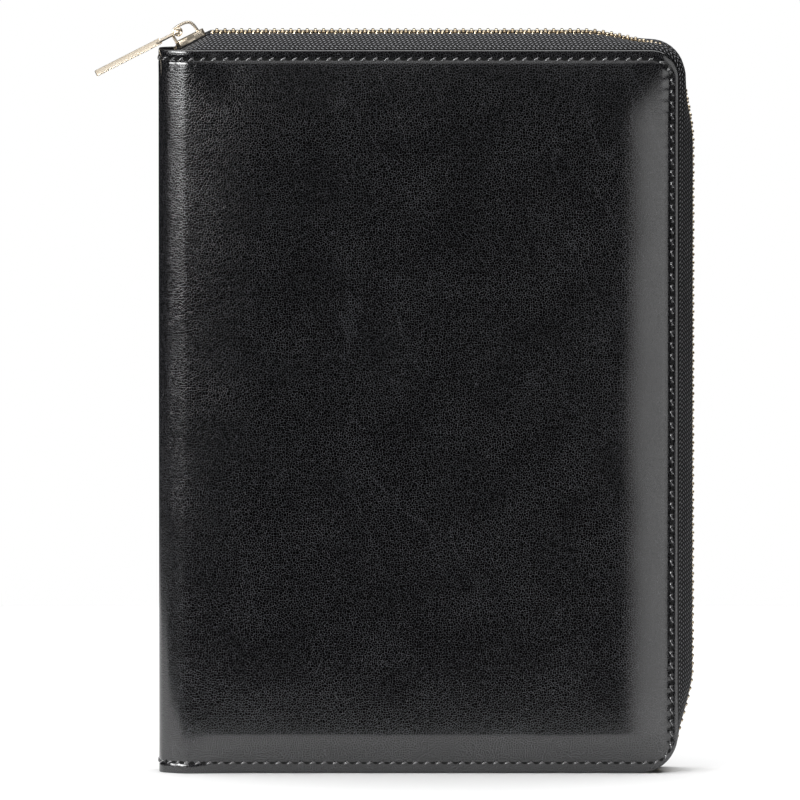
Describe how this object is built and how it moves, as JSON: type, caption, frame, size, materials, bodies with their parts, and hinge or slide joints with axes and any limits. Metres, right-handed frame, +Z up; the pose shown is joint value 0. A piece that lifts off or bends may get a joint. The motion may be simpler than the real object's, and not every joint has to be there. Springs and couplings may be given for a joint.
{
  "type": "zippered padfolio",
  "caption": "Zip-around A5 padfolio with padded black covers on a folding spine, metal-tooth zip, slider with bar pull, inner pockets, pen loop and a writing pad.",
  "frame": {"origin": "middle of the bottom of the box around the closed, standing case and its pull", "axes": "+X from the spine to the fore-edge, +Y from the front cover to the back cover, +Z up along the spine"},
  "size_m": [0.1982, 0.028, 0.2492],
  "materials": {
    "outer_leather": "semi-gloss grained black leatherette",
    "padding": "soft open foam",
    "board": "plain grey board",
    "lining": "matt black lining cloth",
    "pocket_leather": "thin black leatherette",
    "pad_board": "plain pad board",
    "paper": "uncoated writing paper",
    "pad_cloth": "matt binding cloth",
    "tape": "black herringbone weave",
    "teeth": "antique brass",
    "slider_metal": "light gold plating"
  },
  "bodies": {
    "back_cover": {"back_leather": "outer_leather", "back_foam": "padding", "back_board": "board", "back_lining": "lining", "pad_pocket": "pocket_leather", "zipper_tape_back": "tape", "zipper_teeth_back": "teeth"},
    "spine": {"spine_leather": "outer_leather", "spine_board": "board", "spine_lining": "lining", "pen_loop": "pocket_leather", "zipper_tail_top": "tape", "zipper_tail_bottom": "tape", "zipper_tail_teeth": "teeth", "zipper_end_stops": "teeth"},
    "front_cover": {"front_leather": "outer_leather", "front_foam": "padding", "front_board": "board", "front_lining": "lining", "document_pocket": "pocket_leather", "card_pocket_upper": "pocket_leather", "card_pocket_middle": "pocket_leather", "card_pocket_lower": "pocket_leather", "zipper_tape_front": "tape", "zipper_teeth_front": "teeth"},
    "writing_pad": {"pad_backboard": "pad_board", "pad_sheets": "paper", "pad_binding": "pad_cloth"},
    "pull_pin": {"pull_pin": "slider_metal"},
    "slider": {"slider_body": "slider_metal", "slider_bridge": "slider_metal"},
    "pull_link": {"pull_link": "slider_metal"},
    "pull_bar": {"pull_bar": "slider_metal"}
  },
  "joints": [
    {"name": "spine_fold", "type": "hinge", "parent": "back_cover", "child": "spine", "pos_m": [-0.07544, 0.01136, 0.12], "axis": [0, 0, -1], "range_deg": [0, 90]},
    {"name": "cover_fold", "type": "hinge", "parent": "spine", "child": "front_cover", "pos_m": [-0.07544, -0.01136, 0.12], "axis": [0, 0, -1], "range_deg": [0, 90]},
    {"name": "slider_travel", "type": "slide", "parent": "spine", "child": "pull_pin", "axis": [-0.9993, 0, -0.0369], "range_m": [-0.12262, 0], "deforming": ["zipper_tape_front", "zipper_tape_back", "zipper_teeth_front", "zipper_teeth_back"]},
    {"name": "slider_tilt", "type": "hinge", "parent": "pull_pin", "child": "slider", "pos_m": [-0.07161, 0, 0.24547], "axis": [0, 1, 0], "range_deg": [0, 27.05]},
    {"name": "link_swing", "type": "hinge", "parent": "pull_pin", "child": "pull_link", "pos_m": [-0.07161, 0, 0.24547], "axis": [0, 1, 0], "range_deg": [0, 207.1]},
    {"name": "bar_swing", "type": "hinge", "parent": "pull_link", "child": "pull_bar", "pos_m": [-0.07856, 0, 0.24193], "axis": [0, 1, 0], "range_deg": [-30, 0]},
    {"name": "pad_slide", "type": "slide", "parent": "back_cover", "child": "writing_pad", "axis": [0, 0, 1], "range_m": [0, 0.16]}
  ],
  "couplings": [
    {"joint": "cover_fold", "follows": "spine_fold", "ratio": 1},
    {"joint": "slider_tilt", "follows": "slider_travel", "rad_per_m": -3.8432},
    {"joint": "link_swing", "follows": "slider_travel", "rad_per_m": -29.464}
  ]
}
